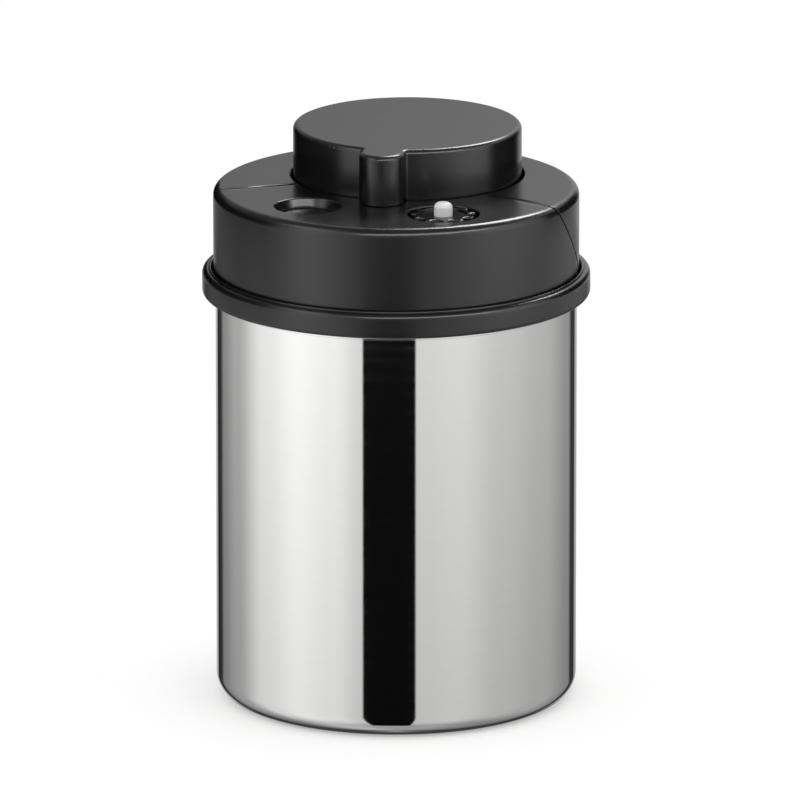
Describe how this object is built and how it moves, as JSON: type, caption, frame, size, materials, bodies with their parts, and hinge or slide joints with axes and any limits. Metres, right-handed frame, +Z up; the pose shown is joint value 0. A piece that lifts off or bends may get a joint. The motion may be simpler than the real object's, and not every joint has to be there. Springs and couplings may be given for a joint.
{
  "type": "vacuum seal canister",
  "caption": "Polished steel food canister with a lift-off lid that holds a pull-up hand pump, a press-to-release valve and a sprung vacuum indicator pin.",
  "frame": {"origin": "centre of the flat ring that the can stands on", "axes": "+Z up along the can's axis, -Y the front where the two valves are, +X to the right seen from the front"},
  "size_m": [0.1244, 0.1244, 0.1844],
  "materials": {
    "polished_steel": "mirror polished stainless steel",
    "black_plastic": "satin black moulded plastic",
    "natural_plastic": "natural acetal, as moulded",
    "white_plastic": "smooth white moulded plastic",
    "silicone": "translucent white silicone rubber",
    "steel_hardware": "plain steel wire and screws"
  },
  "bodies": {
    "can": {"steel_can": "polished_steel"},
    "lid": {"lid_base": "black_plastic", "main_gasket": "silicone", "front_cover": "black_plastic", "rear_cover": "black_plastic", "cover_screws": "steel_hardware", "rod_bush": "natural_plastic", "pump_cylinder": "black_plastic", "cylinder_gasket": "silicone", "cylinder_screws": "steel_hardware", "inlet_valve": "silicone", "release_spring": "steel_hardware", "indicator_nut": "black_plastic", "indicator_diaphragm": "silicone", "indicator_spring": "steel_hardware"},
    "pump": {"pump_knob": "black_plastic", "piston_rod": "natural_plastic", "rod_screws": "steel_hardware", "piston": "natural_plastic", "piston_seal": "silicone", "piston_screw": "steel_hardware"},
    "release": {"release_button": "black_plastic", "release_plug": "silicone", "release_clip": "steel_hardware"},
    "indicator": {"indicator_pin": "white_plastic"}
  },
  "joints": [
    {"name": "lid_lift", "type": "slide", "parent": "can", "child": "lid", "axis": [0, 0, 1], "range_m": [0, 0.06]},
    {"name": "pump_stroke", "type": "slide", "parent": "lid", "child": "pump", "axis": [0, 0, 1], "range_m": [0, 0.02]},
    {"name": "release_press", "type": "slide", "parent": "lid", "child": "release", "axis": [0, 0, -1], "range_m": [0, 0.0025], "stiffness_N_per_m": 250, "springref_m": -0.004, "deforming": ["release_spring"]},
    {"name": "indicator_drop", "type": "slide", "parent": "lid", "child": "indicator", "axis": [0, 0, -1], "range_m": [0, 0.0029], "stiffness_N_per_m": 120, "springref_m": -0.004, "deforming": ["indicator_spring", "indicator_diaphragm"]}
  ]
}
